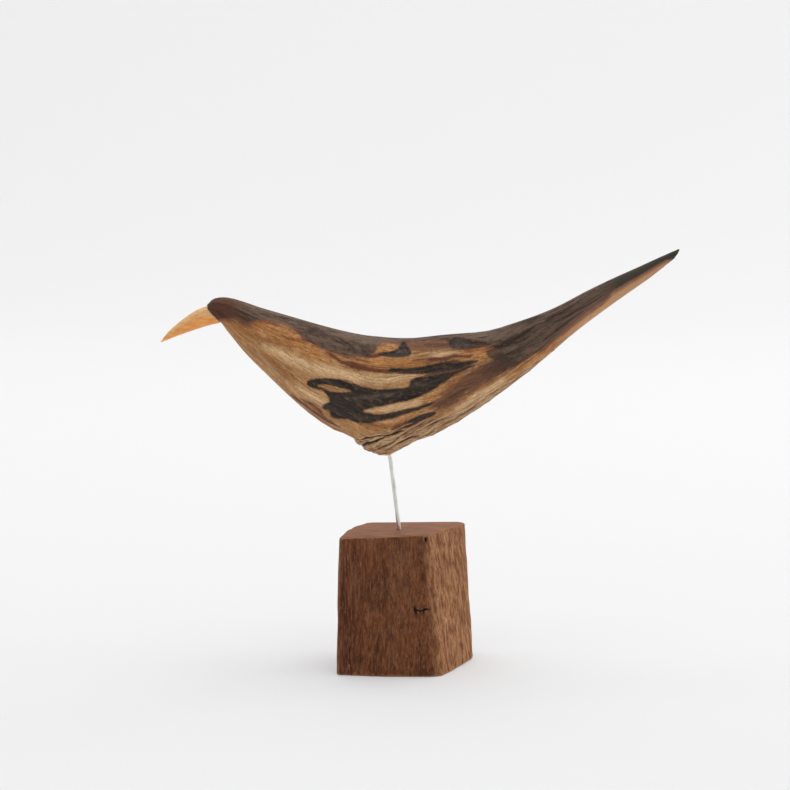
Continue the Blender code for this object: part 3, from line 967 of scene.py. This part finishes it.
def dress_cad_nodes():
    """Gives the nodes that stay as they are their materials."""
    for node, material in (("stand_rod", rod_steel()), ("beak_dowel", dowel_wood())):
        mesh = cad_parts[node].data
        mesh.materials.clear()
        mesh.materials.append(material)


# --- the stage -------------------------------------------------------------------------------------

CAMERA_TARGET = Vector((-0.0055, 0.0, 0.1597))
CAMERA_DISTANCE = 1.0803
CAMERA_ELEVATION = math.radians(9.0)
CAMERA_LENS = 85.0

SWEEP_HALF_WIDTH = 14.0
SWEEP_FRONT = -14.0
SWEEP_BACK = 1.6
SWEEP_RADIUS = 1.2
SWEEP_TOP = 4.0
SWEEP_STEPS = 16
# The floor's own light, which rises from near to far over a range of distances from a centre.
GLOW_CENTRE = (0.0, 0.9, 0.0)
NEAR_GLOW = 0.235
FAR_GLOW = 0.56
GLOW_RISE = (2.0, 4.4)
# Strength of the sky's light, and of the sky as the camera sees it.
AMBIENT = 0.52
SKY = 0.86


def make_sweep():
    """A pale floor that turns up into a backdrop, with a painted glow of its own that grows far from the
    bird.
    """
    arc = [math.radians(90.0 * step / SWEEP_STEPS) for step in range(SWEEP_STEPS + 1)]
    profile = [(SWEEP_FRONT, 0.0)]
    profile += [(SWEEP_BACK + SWEEP_RADIUS * math.sin(a), SWEEP_RADIUS * (1 - math.cos(a))) for a in arc]
    profile += [(SWEEP_BACK + SWEEP_RADIUS, SWEEP_TOP)]
    vertices = [(side * SWEEP_HALF_WIDTH, y, z) for y, z in profile for side in (-1, 1)]
    faces = [(2 * i, 2 * i + 1, 2 * i + 3, 2 * i + 2) for i in range(len(profile) - 1)]
    mesh = bpy.data.meshes.new("sweep")
    mesh.from_pydata(vertices, [], faces)
    mesh.shade_smooth()
    recipe = Recipe("glowing_sweep_paper")
    recipe.shader.inputs["Base Color"].default_value = (0.57, 0.57, 0.574, 1.0)
    recipe.shader.inputs["Emission Color"].default_value = (1.0, 1.0, 1.0, 1.0)
    place = recipe.add("ShaderNodeTexCoord", {}).outputs["Object"]
    # The painted glow, stronger far from the bird.
    reach = recipe.add("ShaderNodeVectorMath", {0: place, 1: GLOW_CENTRE}, operation="DISTANCE")
    glow = recipe.between(reach.outputs["Value"], *GLOW_RISE, NEAR_GLOW, FAR_GLOW)
    recipe.plug(glow, recipe.shader.inputs["Emission Strength"])
    recipe.shader.inputs["Roughness"].default_value = 0.9
    recipe.shader.inputs["Specular IOR Level"].default_value = 0.0
    mesh.materials.append(recipe.material)
    sweep = bpy.data.objects.new("sweep", mesh)
    bpy.context.scene.collection.objects.link(sweep)


def add_area_light(name, place, target, size, power, colour):
    """A soft square light that faces the target."""
    data = bpy.data.lights.new(name, "AREA")
    data.shape = "SQUARE"
    data.size = size
    data.energy = power
    data.color = colour
    light = bpy.data.objects.new(name, data)
    light.location = place
    light.rotation_euler = (Vector(target) - Vector(place)).to_track_quat("-Z", "Y").to_euler()
    bpy.context.scene.collection.objects.link(light)


def make_lights():
    """A low window light from the right, a ceiling light, a wash on the backdrop, and an even fill."""
    add_area_light("window", (3.0, 0.8, 1.3), (0.0, 0.0, 0.12), 2.8, 55.0, (1.0, 0.985, 0.96))
    add_area_light("ceiling", (0.0, 0.3, 2.6), (0.0, 0.0, 0.0), 3.0, 36.0, (1.0, 1.0, 1.0))
    add_area_light("backdrop_wash", (-1.6, 0.7, 2.6), (-1.2, 2.8, 1.1), 2.0, 18.0, (1.0, 1.0, 1.0))
    world = bpy.data.worlds.new("studio")
    world.use_nodes = True
    background = world.node_tree.nodes["Background"]
    background.inputs["Color"].default_value = (0.99, 0.995, 1.0, 1.0)
    # The sky is seen paler than the light that it gives.
    path = world.node_tree.nodes.new("ShaderNodeLightPath")
    strength = world.node_tree.nodes.new("ShaderNodeMath")
    strength.operation = "MULTIPLY_ADD"
    strength.inputs[1].default_value = SKY - AMBIENT
    strength.inputs[2].default_value = AMBIENT
    world.node_tree.links.new(path.outputs["Is Camera Ray"], strength.inputs[0])
    world.node_tree.links.new(strength.outputs["Value"], background.inputs["Strength"])
    bpy.context.scene.world = world


def make_camera():
    """A long lens, a little above the bird."""
    data = bpy.data.cameras.new("camera")
    data.lens = CAMERA_LENS
    data.sensor_width = 36.0
    camera = bpy.data.objects.new("camera", data)
    back = Vector((0.0, -math.cos(CAMERA_ELEVATION), math.sin(CAMERA_ELEVATION)))
    camera.location = CAMERA_TARGET + back * CAMERA_DISTANCE
    camera.rotation_euler = (-back).to_track_quat("-Z", "Y").to_euler()
    bpy.context.scene.collection.objects.link(camera)
    bpy.context.scene.camera = camera
    bpy.context.scene.view_settings.view_transform = "Standard"


make_camera()
make_sweep()
make_lights()
make_bird()
make_beak()
make_block()
dress_cad_nodes()
